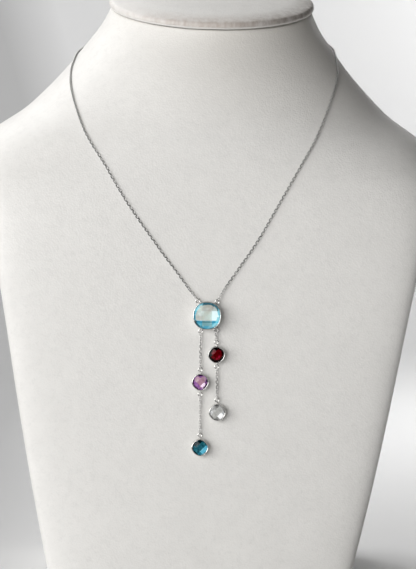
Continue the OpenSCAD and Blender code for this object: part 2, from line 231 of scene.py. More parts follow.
# The floor and the wall that it sweeps up to; the left of them is painted greyer, as shade
FLOOR_SIZE = 3
FLOOR_MIDDLE = 0.2
WALL_HEIGHT = 2
SWEEP = 0.5
LEFT_SHADE = 0.63
LEFT_LEAN = 0.35
LEFT_EDGE = (-0.11, -0.035)
ROOM_COLOR = (1, 0.94, 0.86, 1)
BUST_MIDDLE = (0, 0, 0.15)

# The camera stands 0.8 m from the pendant, slightly left of the middle and above it
CAMERA_AT = (-0.021245, -0.843692, 0.184677)
CAMERA_RIGHT = (0.99947794, -0.02465047, 0.02088528)
CAMERA_UP = (-0.01882481, 0.08104813, 0.9965324)
CAMERA_FORWARD = (0.02625771, 0.99640532, -0.08054178)
CAMERA_LENS = 129.77


def color_property(name, description, default):
    return FloatVectorProperty(
        name=name, description=description, subtype="COLOR", size=4, min=0, max=1,
        default=default)


def length_property(name, description, low, high, default):
    return FloatProperty(
        name=name, description=description, unit="LENGTH", min=low, max=high, default=default)


class BustFinish(bpy.types.PropertyGroup):
    leather_color: color_property(
        "Leatherette", "Colour of the white leatherette", (0.83, 0.815, 0.785, 1))
    # Painted shade: the neck's colour right under the cap's overhang
    cap_shade_color: color_property(
        "Neck shade under cap", "Colour of the leatherette right under the cap", (0.73, 0.7, 0.65, 1))
    # The band's colour is handled wear and also painted shade in the crease where the rim turns
    band_color: color_property(
        "Cap band", "Colour of the cap's band, where hands have touched it",
        (0.48, 0.41, 0.36, 1))
    grain_size: length_property(
        "Grain", "Size of a pebble of the grain", 0.0002, 0.003, 0.0007)


class StoneFinish(bpy.types.PropertyGroup):
    topaz_color: color_property(
        "Topaz", "Colour of the large stone's rim", (0.2, 0.58, 0.72, 1))
    amethyst_color: color_property(
        "Amethyst", "Colour of the left strand's first stone", (0.42, 0.19, 0.5, 1))
    teal_color: color_property(
        "Deep teal", "Colour of the left strand's last stone", (0.015, 0.15, 0.2, 1))
    garnet_color: color_property(
        "Garnet", "Colour of the right strand's first stone", (0.13, 0.0, 0.003, 1))
    clear_color: color_property(
        "Clear stone", "Colour of the right strand's last stone", (0.74, 0.75, 0.76, 1))
    clarity: FloatProperty(
        name="Clarity", description="Share of the light that passes through the stones",
        min=0, max=1, default=0.3)


class SettingSizes(bpy.types.PropertyGroup):
    large_stone: length_property(
        "Large stone", "Width of the large stone, flat to flat", 0.009, 0.011, 0.0103)
    small_stone: length_property(
        "Small stones", "Width of each small stone, flat to flat", 0.0054, 0.006, 0.00575)
    bezel_wall: length_property(
        "Bezel wall", "Thickness of the metal round each stone", 0.0003, 0.0004, 0.0003)
    ring_wire: length_property(
        "Ring wire", "Wire of the soldered rings", 0.00036, 0.0004, 0.0004)
    ring_radius: length_property(
        "Ring radius", "From a ring's centre to the middle of its wire", 0.0007, 0.0009, 0.0008)
    silver_color: color_property(
        "Silver", "Colour of the polished silver", (0.8, 0.79, 0.77, 1))


class ChainSizes(bpy.types.PropertyGroup):
    link_length: length_property(
        "Link length", "Length of a link, outside", 0.0016, 0.0017, 0.00164)
    link_width: length_property(
        "Link width", "Width of a link, outside", 0.00112, 0.0012, 0.00115)
    link_wire: length_property(
        "Link wire", "Wire of a link", 0.00022, 0.00026, 0.00025)
    link_gap: length_property(
        "Link gap", "Clear gap between neighbouring links", 0.0001, 0.00012, 0.0001)
    settle_links: IntProperty(
        name="Settling links", description="Links over which the chain rolls from square to a "
        "ring to leaning on the leatherette", min=4, max=20, default=9)


class StudioLight(bpy.types.PropertyGroup):
    floor_color: color_property("Floor", "Colour of the floor", (0.77, 0.77, 0.77, 1))
    window_power: FloatProperty(
        name="Window light", description="Power of the large soft light on the left",
        unit="POWER", min=0, max=200, default=58.5)
    sky_strength: FloatProperty(
        name="Room light", description="Strength of the light from the room",
        min=0, max=2, default=0.02)


def deselect():
    if bpy.context.object and bpy.context.object.mode != "OBJECT":
        bpy.ops.object.mode_set(mode="OBJECT")
    bpy.ops.object.select_all(action="DESELECT")


def make_active(piece):
    deselect()
    piece.select_set(True)
    bpy.context.view_layer.objects.active = piece


def edit(piece, select="SELECT"):
    make_active(piece)
    bpy.ops.object.mode_set(mode="EDIT")
    bpy.ops.mesh.select_all(action=select)


def stop_edit():
    bpy.ops.object.mode_set(mode="OBJECT")


def select_where(piece, kind, test):
    """Leaves edit mode, selects the vertices or edges that pass the test, and goes back."""
    edit(piece, "DESELECT")
    bpy.ops.mesh.select_mode(type=kind)
    stop_edit()
    items = {"VERT": piece.data.vertices, "EDGE": piece.data.edges}
    for item in items[kind]:
        item.select = test(item)
    bpy.ops.object.mode_set(mode="EDIT")


def name_last(name):
    piece = bpy.context.view_layer.objects.active
    piece.name = name
    piece.data.name = name
    return piece


def join(name, pieces):
    """Joins pieces into the first of them."""
    deselect()
    for piece in pieces:
        piece.select_set(True)
    bpy.context.view_layer.objects.active = pieces[0]
    if len(pieces) > 1:
        bpy.ops.object.join()
    return name_last(name)


def place(piece, matrix):
    """Moves a piece that is drawn at the origin to its place, and keeps the place in its mesh."""
    piece.matrix_world = matrix
    make_active(piece)
    bpy.ops.object.transform_apply(location=True, rotation=True, scale=True)


def add_modifier(piece, kind, name, **settings):
    make_active(piece)
    modifier = piece.modifiers.new(name, kind)
    for key, value in settings.items():
        setattr(modifier, key, value)
    bpy.ops.object.modifier_apply(modifier=modifier.name)


def face_outwards(piece):
    edit(piece)
    bpy.ops.mesh.remove_doubles(threshold=WELD)
    bpy.ops.mesh.select_all(action="SELECT")
    bpy.ops.mesh.normals_make_consistent(inside=False)
    stop_edit()


def finish_piece(piece, material, nodes):
    piece.data.materials.clear()
    piece.data.materials.append(material)
    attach(piece, BODY)
    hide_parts(*nodes)


def new_material(name):
    material = bpy.data.materials.get(name)
    if material:
        bpy.data.materials.remove(material)
    material = bpy.data.materials.new(name)
    material.use_nodes = True
    tree = material.node_tree
    return material, tree, tree.nodes["Principled BSDF"]


def object_noise(tree, coordinates, scale, detail, roughness):
    noise = tree.nodes.new("ShaderNodeTexNoise")
    noise.inputs["Scale"].default_value = scale
    noise.inputs["Detail"].default_value = detail
    noise.inputs["Roughness"].default_value = roughness
    tree.links.new(coordinates, noise.inputs["Vector"])
    return noise.outputs["Fac"]


def remap(tree, value, low, high, to_low, to_high):
    node = tree.nodes.new("ShaderNodeMapRange")
    node.inputs["From Min"].default_value = low
    node.inputs["From Max"].default_value = high
    node.inputs["To Min"].default_value = to_low
    node.inputs["To Max"].default_value = to_high
    tree.links.new(value, node.inputs["Value"])
    return node.outputs["Result"]


def calculate(tree, operation, a, b):
    node = tree.nodes.new("ShaderNodeMath")
    node.operation = operation
    for socket, value in zip(node.inputs, (a, b)):
        if isinstance(value, (int, float)):
            socket.default_value = value
        else:
            tree.links.new(value, socket)
    return node.outputs["Value"]


def mix_colors(tree, factor, a, b):
    node = tree.nodes.new("ShaderNodeMix")
    node.data_type = "RGBA"
    tree.links.new(factor, node.inputs["Factor"])
    for socket, value in ((node.inputs[6], a), (node.inputs[7], b)):
        if hasattr(value, "is_linked"):
            tree.links.new(value, socket)
        else:
            socket.default_value = tuple(value)
    return node.outputs[2]


def bump(tree, shader, height, distance, strength):
    node = tree.nodes.new("ShaderNodeBump")
    node.inputs["Distance"].default_value = distance
    node.inputs["Strength"].default_value = strength
    tree.links.new(height, node.inputs["Height"])
    tree.links.new(node.outputs["Normal"], shader.inputs["Normal"])


def ramp(value, low, high):
    """From 0 to 1 as a value goes from low to high."""
    return min(1, max(0, (value - low) / (high - low)))


def ease(share):
    """From 0 to 1 with a soft start and end."""
    share = ramp(share, 0, 1)
    return share * share * (3 - 2 * share)


def shaded(color, factor):
    """A colour made darker, or lighter where the factor is over 1."""
    return tuple(channel * factor for channel in color[:3]) + (1,)


def leatherette(name, finish, banded):
    """White leatherette: pebbled grain, soft unevenness, and the handled band with its painted shade
    if it is banded, or else painted shade on the neck under the cap.
    """
    material, tree, shader = new_material(name)
    coordinates = tree.nodes.new("ShaderNodeTexCoord").outputs["Object"]
    cells = tree.nodes.new("ShaderNodeTexVoronoi")
    cells.feature = "SMOOTH_F1"
    cells.inputs["Scale"].default_value = 1 / finish.grain_size
    cells.inputs["Smoothness"].default_value = 0.6
    tree.links.new(coordinates, cells.inputs["Vector"])
    pebbles = remap(tree, cells.outputs["Distance"], 0.1, 0.7, 1, 0)
    creases = object_noise(tree, coordinates, *CREASES)
    height = calculate(tree, "ADD", pebbles, calculate(tree, "MULTIPLY", creases, CREASE_HEIGHT))
    patches = remap(tree, object_noise(tree, coordinates, *PATCHES), 0.3, 0.7, 0, 1)
    color = mix_colors(
        tree, patches, shaded(finish.leather_color, PATCH_SHADE), finish.leather_color)
    mottling = remap(tree, object_noise(tree, coordinates, *MOTTLING), 0.35, 0.65, 0, 0.5)
    color = mix_colors(tree, mottling, color, shaded(finish.leather_color, MOTTLING_SHADE))
    specks = remap(tree, object_noise(tree, coordinates, *SPECKS), 0.5, 0.72, 0, 0.45)
    color = mix_colors(tree, specks, color, shaded(finish.leather_color, SPECK_SHADE))
    if banded:
        # The cap's band: handled wear, with painted shade in its crease and to the right
        band = tree.nodes.new("ShaderNodeAttribute")
        band.attribute_name = "band_wear_and_shade"
        # The band's leatherette is gathered, so its wear runs in short upright strokes
        upright = tree.nodes.new("ShaderNodeMapping")
        upright.inputs["Scale"].default_value = (1, 1, 0.3)
        tree.links.new(coordinates, upright.inputs["Vector"])
        gathers = object_noise(tree, upright.outputs["Vector"], *CREASES)
        wear = remap(tree, gathers, 0.38, 0.62, 0.55, 1)
        strength = calculate(tree, "MULTIPLY", band.outputs["Alpha"], wear)
        color = mix_colors(tree, strength, color, band.outputs["Color"])
        folds = calculate(tree, "MULTIPLY", gathers, GATHER_HEIGHT)
        height = calculate(tree, "ADD", height, calculate(tree, "MULTIPLY", folds, strength))
    else:
        # The neck is painted a little darker under the cap, as shade from its overhang, most of all
        # on its right
        split = tree.nodes.new("ShaderNodeSeparateXYZ")
        tree.links.new(coordinates, split.inputs["Vector"])
        cap_shade = calculate(
            tree, "MULTIPLY", remap(tree, split.outputs["Z"], *CAP_SHADE_UP, 0, 1),
            remap(tree, split.outputs["X"], *CAP_SHADE_ACROSS, 0, 1))
        color = mix_colors(tree, cap_shade, color, finish.cap_shade_color)
    bump(tree, shader, height, *GRAIN_RELIEF)
    tree.links.new(color, shader.inputs["Base Color"])
    tree.links.new(remap(tree, patches, 0, 1, *LEATHER_POLISH), shader.inputs["Roughness"])
    shader.inputs["Specular IOR Level"].default_value = 0.5
    return material


def band_wear_and_shade(height, side, finish):
    """Colour and strength of the cap's band: handled wear with painted shade, darker to the right,
    and a dark seam under it that is partly painted shadow.
    """
    if height < SEAM_TOP:
        return shaded(finish.band_color, SEAM_SHADE)[:3] + (SEAM_STRENGTH,)
    inside = ramp(height, *BAND_START) * (1 - ramp(height, *BAND_END))
    strength = inside * (0.3 + 0.6 * ramp(side, *BAND_STRONG))
    shade = 1 - (1 - BAND_SHADE) * ramp(side, *BAND_SHADED_SIDE)
    return shaded(finish.band_color, shade)[:3] + (strength,)


def polished_silver(name, color, low, high, metallic=1.0):
    """Silver of a roughness from low to high, with painted shade at its links' ends and on their low
    sides.
    """
    material, tree, shader = new_material(name)
    coordinates = tree.nodes.new("ShaderNodeTexCoord").outputs["Object"]
    shader.inputs["Metallic"].default_value = metallic
    rubbed = object_noise(tree, coordinates, *RUBBING)
    tree.links.new(remap(tree, rubbed, 0.3, 0.7, low, high), shader.inputs["Roughness"])
    tarnish = remap(tree, object_noise(tree, coordinates, *TARNISH), 0.45, 0.75, 0, 1)
    metal = mix_colors(tree, tarnish, color, shaded(color, TARNISH_SHADE))
    # Painted shade where links meet and where they lie against the leatherette, made uneven
    crook_shade = tree.nodes.new("ShaderNodeAttribute")
    crook_shade.attribute_name = "crook_shade"
    uneven = remap(tree, object_noise(tree, coordinates, *CROOK_SHADE_NOISE), 0.35, 0.65, 0.6, 1)
    painted_crook_shade = calculate(tree, "MULTIPLY", crook_shade.outputs["Fac"], uneven)
    metal = mix_colors(tree, painted_crook_shade, metal, shaded(color, CROOK_PAINTED_SHADE))
    tree.links.new(metal, shader.inputs["Base Color"])
    bump(tree, shader, rubbed, *RUBBED_RELIEF)
    return material


def cut_stone(name, index, clarity, rim_start, scatter, shelf):
    """A cut stone: each pane has its own tone of painted light and shade, broken into the bits that
    show through it, and some panes glow as painted light.
    """
    material, tree, shader = new_material(name)
    spot, pane, rim = (tree.nodes.new("ShaderNodeAttribute") for _ in range(3))
    spot.attribute_name = "stone_place"
    pane.attribute_name = "pane_color"
    rim.attribute_name = "rim_color"
    bits = tree.nodes.new("ShaderNodeTexVoronoi")
    bits.inputs["Scale"].default_value = BITS_ACROSS
    tree.links.new(spot.outputs["Vector"], bits.inputs["Vector"])
    chance = tree.nodes.new("ShaderNodeSeparateXYZ")
    tree.links.new(bits.outputs["Color"], chance.inputs["Vector"])
    split = tree.nodes.new("ShaderNodeSeparateXYZ")
    tree.links.new(spot.outputs["Vector"], split.inputs["Vector"])
    across = calculate(tree, "POWER", split.outputs["X"], 2)
    up = calculate(tree, "POWER", split.outputs["Y"], 2)
    reach = calculate(tree, "SQRT", calculate(tree, "ADD", across, up), 0)
    offset = remap(tree, chance.outputs["X"], 0, 1, -scatter / 2, scatter / 2)
    inside = remap(
        tree, calculate(tree, "ADD", reach, offset), rim_start, rim_start + RIM_SOFTNESS, 1, 0)
    color = mix_colors(tree, inside, rim.outputs["Color"], pane.outputs["Color"])
    depth = remap(tree, chance.outputs["Y"], 0.1, 0.9, *BIT_DEPTHS)
    if shelf:
        # The edge of the stone's back shows as a dark line across the panes under the table
        off = calculate(
            tree, "ABSOLUTE", calculate(tree, "SUBTRACT", split.outputs["Y"], shelf), 0)
        line = remap(tree, off, *SHELF_LINE, SHELF_DEPTH, 0)
        depth = calculate(tree, "ADD", depth, line)
    deeper = tree.nodes.new("ShaderNodeGamma")
    tree.links.new(color, deeper.inputs["Color"])
    tree.links.new(depth, deeper.inputs["Gamma"])
    tree.links.new(deeper.outputs["Color"], shader.inputs["Base Color"])
    # The panes' tones glow as painted light, as strongly as each tone's alpha says
    tree.links.new(deeper.outputs["Color"], shader.inputs["Emission Color"])
    tree.links.new(
        calculate(tree, "MULTIPLY", pane.outputs["Alpha"], inside),
        shader.inputs["Emission Strength"])
    shader.inputs["Specular IOR Level"].default_value = 0.06
    shader.inputs["Transmission Weight"].default_value = clarity
    shader.inputs["IOR"].default_value = index
    shader.inputs["Roughness"].default_value = 0.04
    return material


def pane_tone(color, factor=1.0, painted_glow=0.0):
    """A pane's colour, and how strongly it glows as painted light."""
    return tuple(channel * factor for channel in color[:3]) + (painted_glow,)


def stone_tones(finish):
    """Each stone's tones by the letters of its panes: its colours with painted light and shade, and
    each tone's painted glow.
    """
    return {
        "topaz": {
            "h": pane_tone((0.76, 0.7, 0.62)), "p": pane_tone((0.82, 0.8, 0.7)),
            "m": pane_tone((0.62, 0.62, 0.56)), "w": pane_tone((1, 1, 0.97), 1, 0.2),
            "s": pane_tone((0.36, 0.56, 0.57)), "c": pane_tone((0.45, 0.9, 1), 1, 0.12),
            "b": pane_tone(finish.topaz_color), "d": pane_tone(finish.topaz_color, 0.38)},
        "amethyst": {
            "h": pane_tone((0.62, 0.38, 0.47)), "p": pane_tone((0.85, 0.58, 0.72)),
            "w": pane_tone((1, 0.82, 0.98), 1, 0.35), "b": pane_tone(finish.amethyst_color),
            "d": pane_tone(finish.amethyst_color, 0.2)},
        "teal": {
            "h": pane_tone(finish.teal_color), "p": pane_tone((0.18, 0.62, 0.8), 1, 0.12),
            "b": pane_tone((0.04, 0.28, 0.38)), "d": pane_tone(finish.teal_color, 0.25)},
        "garnet": {
            "h": pane_tone(finish.garnet_color), "b": pane_tone((0.26, 0, 0.01)),
            "d": pane_tone(finish.garnet_color, 0.04)},
        "clear": {
            "h": pane_tone((0.6, 0.6, 0.58)), "p": pane_tone(finish.clear_color),
            "w": pane_tone((1, 1, 1), 1, 0.25), "b": pane_tone((0.38, 0.38, 0.37)),
            "d": pane_tone((0.15, 0.15, 0.15))},
    }


def color_panes(piece, inwards, chart, tones):
    """Gives each facet its tone of painted light and shade, by its tilt and direction, and the tone
    of the rim beside it.
    """
    table, around, rim = chart[:3]
    places = piece.data.attributes.new("stone_place", "FLOAT_VECTOR", "POINT")
    for vertex in piece.data.vertices:
        places.data[vertex.index].vector = inwards @ vertex.co
    pane_colors = piece.data.attributes.new("pane_color", "FLOAT_COLOR", "CORNER")
    rim_colors = piece.data.attributes.new("rim_color", "FLOAT_COLOR", "CORNER")
    turn = inwards.to_3x3().normalized()
    for face in piece.data.polygons:
        normal = turn @ face.normal
        tilt = math.degrees(math.acos(max(-1, min(1, normal.z))))
        turned = math.degrees(math.atan2(normal.y, normal.x))
        step = round(turned * RIM_PANES / 360) % RIM_PANES
        tone = rim[step]
        if tilt < CROWN_TILT:
            tone = table if tilt < TABLE_TILT else around[step // 2]
        for corner in face.loop_indices:
            pane_colors.data[corner].color = tones[tone]
            rim_colors.data[corner].color = tones[rim[step]]


def copy_of_node(node, name, flat_angle=math.radians(40)):
    """A copy of a CAD node's mesh, its loose triangles merged into quads or flat facets."""
    piece = bpy.data.objects.new(name, CAD_NODES[node].data.copy())
    piece.data.name = name
    bpy.context.scene.collection.objects.link(piece)
    edit(piece)
    bpy.ops.mesh.remove_doubles(threshold=CAD_WELD)
    bpy.ops.mesh.select_all(action="SELECT")
    bpy.ops.mesh.tris_convert_to_quads(
        face_threshold=flat_angle, shape_threshold=math.radians(70))
    stop_edit()
    return piece


def crease_where(piece, test, amount):
    crease = piece.data.attributes.get("crease_edge")
    crease = crease or piece.data.attributes.new("crease_edge", "FLOAT", "EDGE")
    for edge in piece.data.edges:
        a, b = (piece.data.vertices[i].co for i in edge.vertices)
        if test(a) and test(b):
            crease.data[edge.index].value = amount


def topaz_ring(angle, level=0):
    """The middle of one of the large setting's rings, on the chest's slope."""
    turned = math.radians(angle)
    return TOPAZ_AT + Vector((
        TOPAZ_RING_REACH * math.cos(turned), TOPAZ_RING_REACH * math.sin(turned), level))


def strand(ring_angle, hang, down):
    """The place a given way down a strand, in the strand's own line."""
    return (CHEST @ Matrix.Translation(topaz_ring(ring_angle))
            @ Matrix.Rotation(math.radians(hang), 4, "Z") @ Matrix.Translation((0, -down, 0)))


def stone_places():
    """The place of each stone on the chest."""
    return {
        "topaz": CHEST @ Matrix.Translation(TOPAZ_AT),
        "amethyst": strand(*LEFT_STRAND, AMETHYST_DOWN),
        "teal": strand(*LEFT_STRAND, TEAL_DOWN),
        "garnet": strand(*RIGHT_STRAND, GARNET_DOWN),
        "clear": strand(*RIGHT_STRAND, CLEAR_DOWN)}


def cushion_reach(half, corner, bow, angle):
    """How far a cushion outline reaches in a direction, given in degrees."""
    off = math.radians(abs((angle + 45) % 90 - 45))
    side = math.sqrt(bow ** 2 - ((bow - half) * math.sin(off)) ** 2)
    return min(corner, side - (bow - half) * math.cos(off))


def bezel_cup(half, corner, bow, seat, wall):
    """The metal round a stone: a wall with a ledge below the girdle and a lip over its edge."""
    bpy.ops.mesh.primitive_circle_add(vertices=72, radius=half)
    piece = name_last("bezel_cup")
    for vertex in piece.data.vertices:
        angle = math.degrees(math.atan2(vertex.co.y, vertex.co.x))
        vertex.co *= cushion_reach(half, corner, bow, angle) / half
    gap = 0.08 * MM
    outside = gap + wall
    shoulder = outside - 0.16 * MM
    lip_in = -0.1 * MM
    ledge_in = -0.35 * MM
    lip = seat + 0.05 * half + 0.28 * MM
    top = lip + 0.35 * MM
    ledge = seat - 0.58 * MM
    profile = (
        (outside, 0), (outside, lip + 0.05 * MM), (shoulder, top), (0.02 * MM, top),
        (lip_in, lip + 0.12 * MM), (lip_in, lip), (gap, lip), (gap, ledge), (ledge_in, ledge),
        (ledge_in, 0), (outside, 0))
    edit(piece)
    reach = half
    height = 0
    for offset, level in profile:
        if reach != half or height:
            bpy.ops.mesh.extrude_edges_move(
                TRANSFORM_OT_translate={"value": (0, 0, level - height)})
        scale = (half + offset) / reach
        bpy.ops.transform.resize(value=(scale, scale, 1), center_override=(0, 0, 0))
        reach = half + offset
        height = level
    stop_edit()
    face_outwards(piece)
    add_modifier(
        piece, "BEVEL", "Edge", width=0.06 * MM, segments=2, limit_method="ANGLE",
        angle_limit=math.radians(32))
    return piece


def wire_ring(name, radius, wire, at, sides=28, wire_sides=12):
    """A closed ring of round wire that lies flat."""
    bpy.ops.mesh.primitive_torus_add(
        major_segments=sides, minor_segments=wire_sides, major_radius=radius,
        minor_radius=wire / 2, location=at)
    return name_last(name)


def soldered_ring(angle, reach, neck_from, level, sizes):
    """A ring that lies flat beside a bezel, on a short stalk."""
    ring = wire_ring("ring", sizes.ring_radius, sizes.ring_wire, (reach, 0, level))
    length = reach - sizes.ring_radius - neck_from
    bpy.ops.mesh.primitive_cylinder_add(
        vertices=12, radius=sizes.ring_wire * STALK_SHARE, depth=length, end_fill_type="TRIFAN",
        location=(neck_from + length / 2, 0, level), rotation=(0, math.radians(90), 0))
    stalk = name_last("stalk")
    piece = join("ring", [ring, stalk])
    make_active(piece)
    bpy.ops.object.transform_apply(location=True, rotation=True, scale=True)
    piece.rotation_euler = (0, 0, math.radians(angle))
    bpy.ops.object.transform_apply(location=True, rotation=True, scale=True)
    return piece


def model_setting(name, width, large, matrix, angles, sizes):
    """A bezel and its rings, modelled flat and then laid in their place."""
    half = width / 2
    corner, bow = (half * share for share in (LARGE_CUSHION if large else SMALL_CUSHION))
    reach = TOPAZ_RING_REACH if large else SMALL_RING_REACH
    seat = GIRDLE_BASE + GIRDLE_SHARE * half
    cup = bezel_cup(half, corner, bow, seat, sizes.bezel_wall)
    rings = [
        soldered_ring(
            angle, reach, cushion_reach(half, corner, bow, angle) + STALK_FROM,
            RING_LEVEL - REST_GAP, sizes)
        for angle in angles]
    piece = join(name, [cup] + rings)
    bpy.ops.object.shade_smooth_by_angle(angle=math.radians(38))
    place(piece, matrix)
    return piece


def model_link(name, sizes, sides, wire_sides):
    """One oval link in the XY plane, along Y."""
    radius = (sizes.link_width - sizes.link_wire) / 2
    stretch = (sizes.link_length - sizes.link_width) / 2
    bpy.ops.mesh.primitive_torus_add(
        major_segments=sides, minor_segments=wire_sides, major_radius=radius,
        minor_radius=sizes.link_wire / 2, rotation=(0, 0, math.pi / sides))
    link = name_last(name)
    bpy.ops.object.transform_apply(location=False, rotation=True, scale=False)
    for side in (1, -1):
        select_where(link, "VERT", lambda vertex: vertex.co.y * side > 0)
        bpy.ops.transform.translate(value=(0, side * stretch, 0))
        stop_edit()
    return link


def shade_link(link, rise):
    """Marks a link's ends and its low side for painted shade; rise is how steeply its +X side rises.
    """
    crook_shade = link.data.attributes.new("crook_shade", "FLOAT", "POINT")
    for vertex in link.data.vertices:
        end = ease((abs(vertex.co.y) - CROOK_FROM) / CROOK_FADE)
        low = ease((-vertex.co.x * rise - LOW_SIDE_FROM) / LOW_SIDE_FADE)
        crook_shade.data[vertex.index].value = max(end, low)


def lay_links(name, link, matrices, surface):
    """Copies a link to each place and joins the copies."""
    copies = []
    for matrix in matrices:
        copy = bpy.data.objects.new(name, link.data.copy())
        bpy.context.scene.collection.objects.link(copy)
        out = (matrix.translation - surface.find_nearest(matrix.translation)[0]).normalized()
        shade_link(copy, out.dot(matrix.to_3x3().col[0]))
        copy.data.transform(matrix)
        copies.append(copy)
    deselect()
    link.select_set(True)
    bpy.ops.object.delete()
    piece = join(name, copies)
    bpy.ops.object.shade_smooth()
    return piece


def first_link_reach(sizes, ring_radius, ring_wire):
    """From a ring's centre to the centre of the first link that hangs on it."""
    inside = ring_radius - (ring_wire + sizes.link_wire) / 2 - sizes.link_gap
    return inside + (sizes.link_length - sizes.link_wire) / 2


def longest_pitch(sizes):
    """From one link's middle to the next where they hang as far apart as they can."""
    return sizes.link_length - 2 * sizes.link_wire - sizes.link_gap


def cubic(a, b, c, d, t):
    """Between b and c on the cubic through four evenly spaced points."""
    return b + 0.5 * t * (
        (c - a) + t * ((2 * a - 5 * b + 4 * c - d) + t * (3 * (b - c) + d - a)))


def smooth_route(start, route, end):
    """The route as a fine line, straight out of the rings that it hangs on."""
    points = [Vector(point) * MM for point in route]
    first = start + (points[0] - start).normalized() * ROUTE_CLEAR
    last = end + (points[-1] - end).normalized() * ROUTE_CLEAR
    points = [first] + points + [last]
    before = [2 * points[0] - points[1]] + points + [2 * points[-1] - points[-2]]
    line = [start]
    for i in range(1, len(before) - 2):
        for k in range(ROUTE_STEPS):
            line.append(cubic(*before[i - 1:i + 3], k / ROUTE_STEPS))
    return line + [last, end]


def seat_line(line, surface):
    """The line laid down on the leatherette, apart from its ends, which rise to their rings."""
    seated = []
    for point in line:
        out = point - surface.find_nearest(point)[0]
        from_ends = min((point - line[0]).length, (point - line[-1]).length)
        drop = (out.length - SEAT_HEIGHT) * ease(from_ends / SEAT_RUN)
        seated.append(point - out.normalized() * drop)
    return seated


def along_line(line, distances):
    """The point and direction at each distance along a line."""
    places = []
    travelled = 0
    i = 0
    for distance in distances:
        span = (line[i + 1] - line[i]).length
        while travelled + span < distance and i < len(line) - 2:
            travelled += span
            i += 1
            span = (line[i + 1] - line[i]).length
        share = (distance - travelled) / span
        places.append((line[i].lerp(line[i + 1], share), (line[i + 1] - line[i]).normalized()))
    return places


def leather_surface():
    """The dressed bust's surface, for what lies on it."""
    leather = bpy.data.objects.get("bust_leather")
    if not leather:
        raise RuntimeError("the chains lie on the bust, so the bust comes first")
    return BVHTree.FromPolygons(
        [vertex.co for vertex in leather.data.vertices],
        [tuple(face.vertices) for face in leather.data.polygons])


def chain_on_bust(start, route, end, sizes, reach, surface):
    """Where each link of one side lies, leaning on the leatherette and square to its end rings."""
    line = seat_line(smooth_route(start, route, end), surface)
    length = sum((b - a).length for a, b in zip(line, line[1:]))
    steps = math.ceil((length - 2 * reach) / longest_pitch(sizes))
    pitch = (length - 2 * reach) / steps
    matrices = []
    for i, (point, along) in enumerate(
            along_line(line, [reach + k * pitch for k in range(steps + 1)])):
        out = point - surface.find_nearest(point)[0]
        out = (out - out.dot(along) * along).normalized()
        side = along.cross(out)
        leaning = ease(i / sizes.settle_links)
        rising = ease((steps - i) / sizes.settle_links)
        turned = 45 * leaning
        if steps % 2:
            turned += 45 * (1 - rising)
        else:
            turned -= 45 * (1 - rising)
        roll = math.radians(90 + 90 * i + turned)
        flat = math.cos(roll) * side - math.sin(roll) * out
        across = flat.cross(along)
        rotation = Matrix((flat, along, across)).transposed().to_4x4()
        matrices.append(Matrix.Translation(point) @ rotation)
    return matrices, length


class NECKLACE_OT_bust(bpy.types.Operator):
    """Cover the neck bust in leatherette"""

    bl_idname = "necklace.bust"
    bl_label = "Bust"

    def execute(self, context):
        finish = context.scene.necklace_bust
        piece = copy_of_node("bust_body", "bust_leather")
        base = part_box("bust_body")[0].z
        nearly = 0.1 * MM
        slant = math.tan(CAP_LEAN)
        crease_where(piece, lambda point: point.z < base + nearly, EDGE_CREASE)
        crease_where(
            piece,
            lambda point: point.z > CAP_AT.z + (point.y - CAP_AT.y) * slant - nearly,
            EDGE_CREASE)
        add_modifier(piece, "SUBSURF", "Smooth", levels=2, render_levels=2)
        bpy.ops.object.shade_smooth_by_angle(angle=LEATHER_ANGLE)
        finish_piece(
            piece, leatherette("Bust leatherette", finish, False), ["bust_body"])
        return {"FINISHED"}


class NECKLACE_OT_cap(bpy.types.Operator):
    """Cover the neck's padded cap in leatherette and tone the band over its rim with wear and painted
    shade
    """

    bl_idname = "necklace.cap"
    bl_label = "Cap"

    def execute(self, context):
        finish = context.scene.necklace_bust
        piece = copy_of_node("neck_cap", "cap_leather")
        add_modifier(piece, "SUBSURF", "Smooth", levels=2, render_levels=2)
        bpy.ops.object.shade_smooth_by_angle(angle=LEATHER_ANGLE)
        tones = piece.data.attributes.new("band_wear_and_shade", "FLOAT_COLOR", "POINT")
        level = Matrix.Rotation(-CAP_LEAN, 4, "X") @ Matrix.Translation(-CAP_AT)
        for vertex in piece.data.vertices:
            spot = level @ vertex.co
            tones.data[vertex.index].color = band_wear_and_shade(spot.z, spot.x / CAP_HALF_WIDTH, finish)
        finish_piece(
            piece, leatherette("Cap leatherette", finish, True), ["neck_cap"])
        return {"FINISHED"}


class NECKLACE_OT_settings(bpy.types.Operator):
    """Model the five bezels with their soldered rings"""

    bl_idname = "necklace.settings"
    bl_label = "Settings"

    def execute(self, context):
        sizes = context.scene.necklace_settings
        silver = polished_silver("Polished silver", sizes.silver_color, *SETTING_POLISH)
        lift = Matrix.Translation((0, 0, REST_GAP))
        on_point = lift @ Matrix.Rotation(math.radians(45), 4, "Z")
        for stone, place_at in stone_places().items():
            large = stone == "topaz"
            width = sizes.large_stone if large else sizes.small_stone
            matrix = place_at @ (lift if large else on_point)
            piece = model_setting(
                stone + "_bezel", width, large, matrix, SETTING_RINGS[stone], sizes)
            finish_piece(piece, silver, [stone + "_setting"])
        return {"FINISHED"}


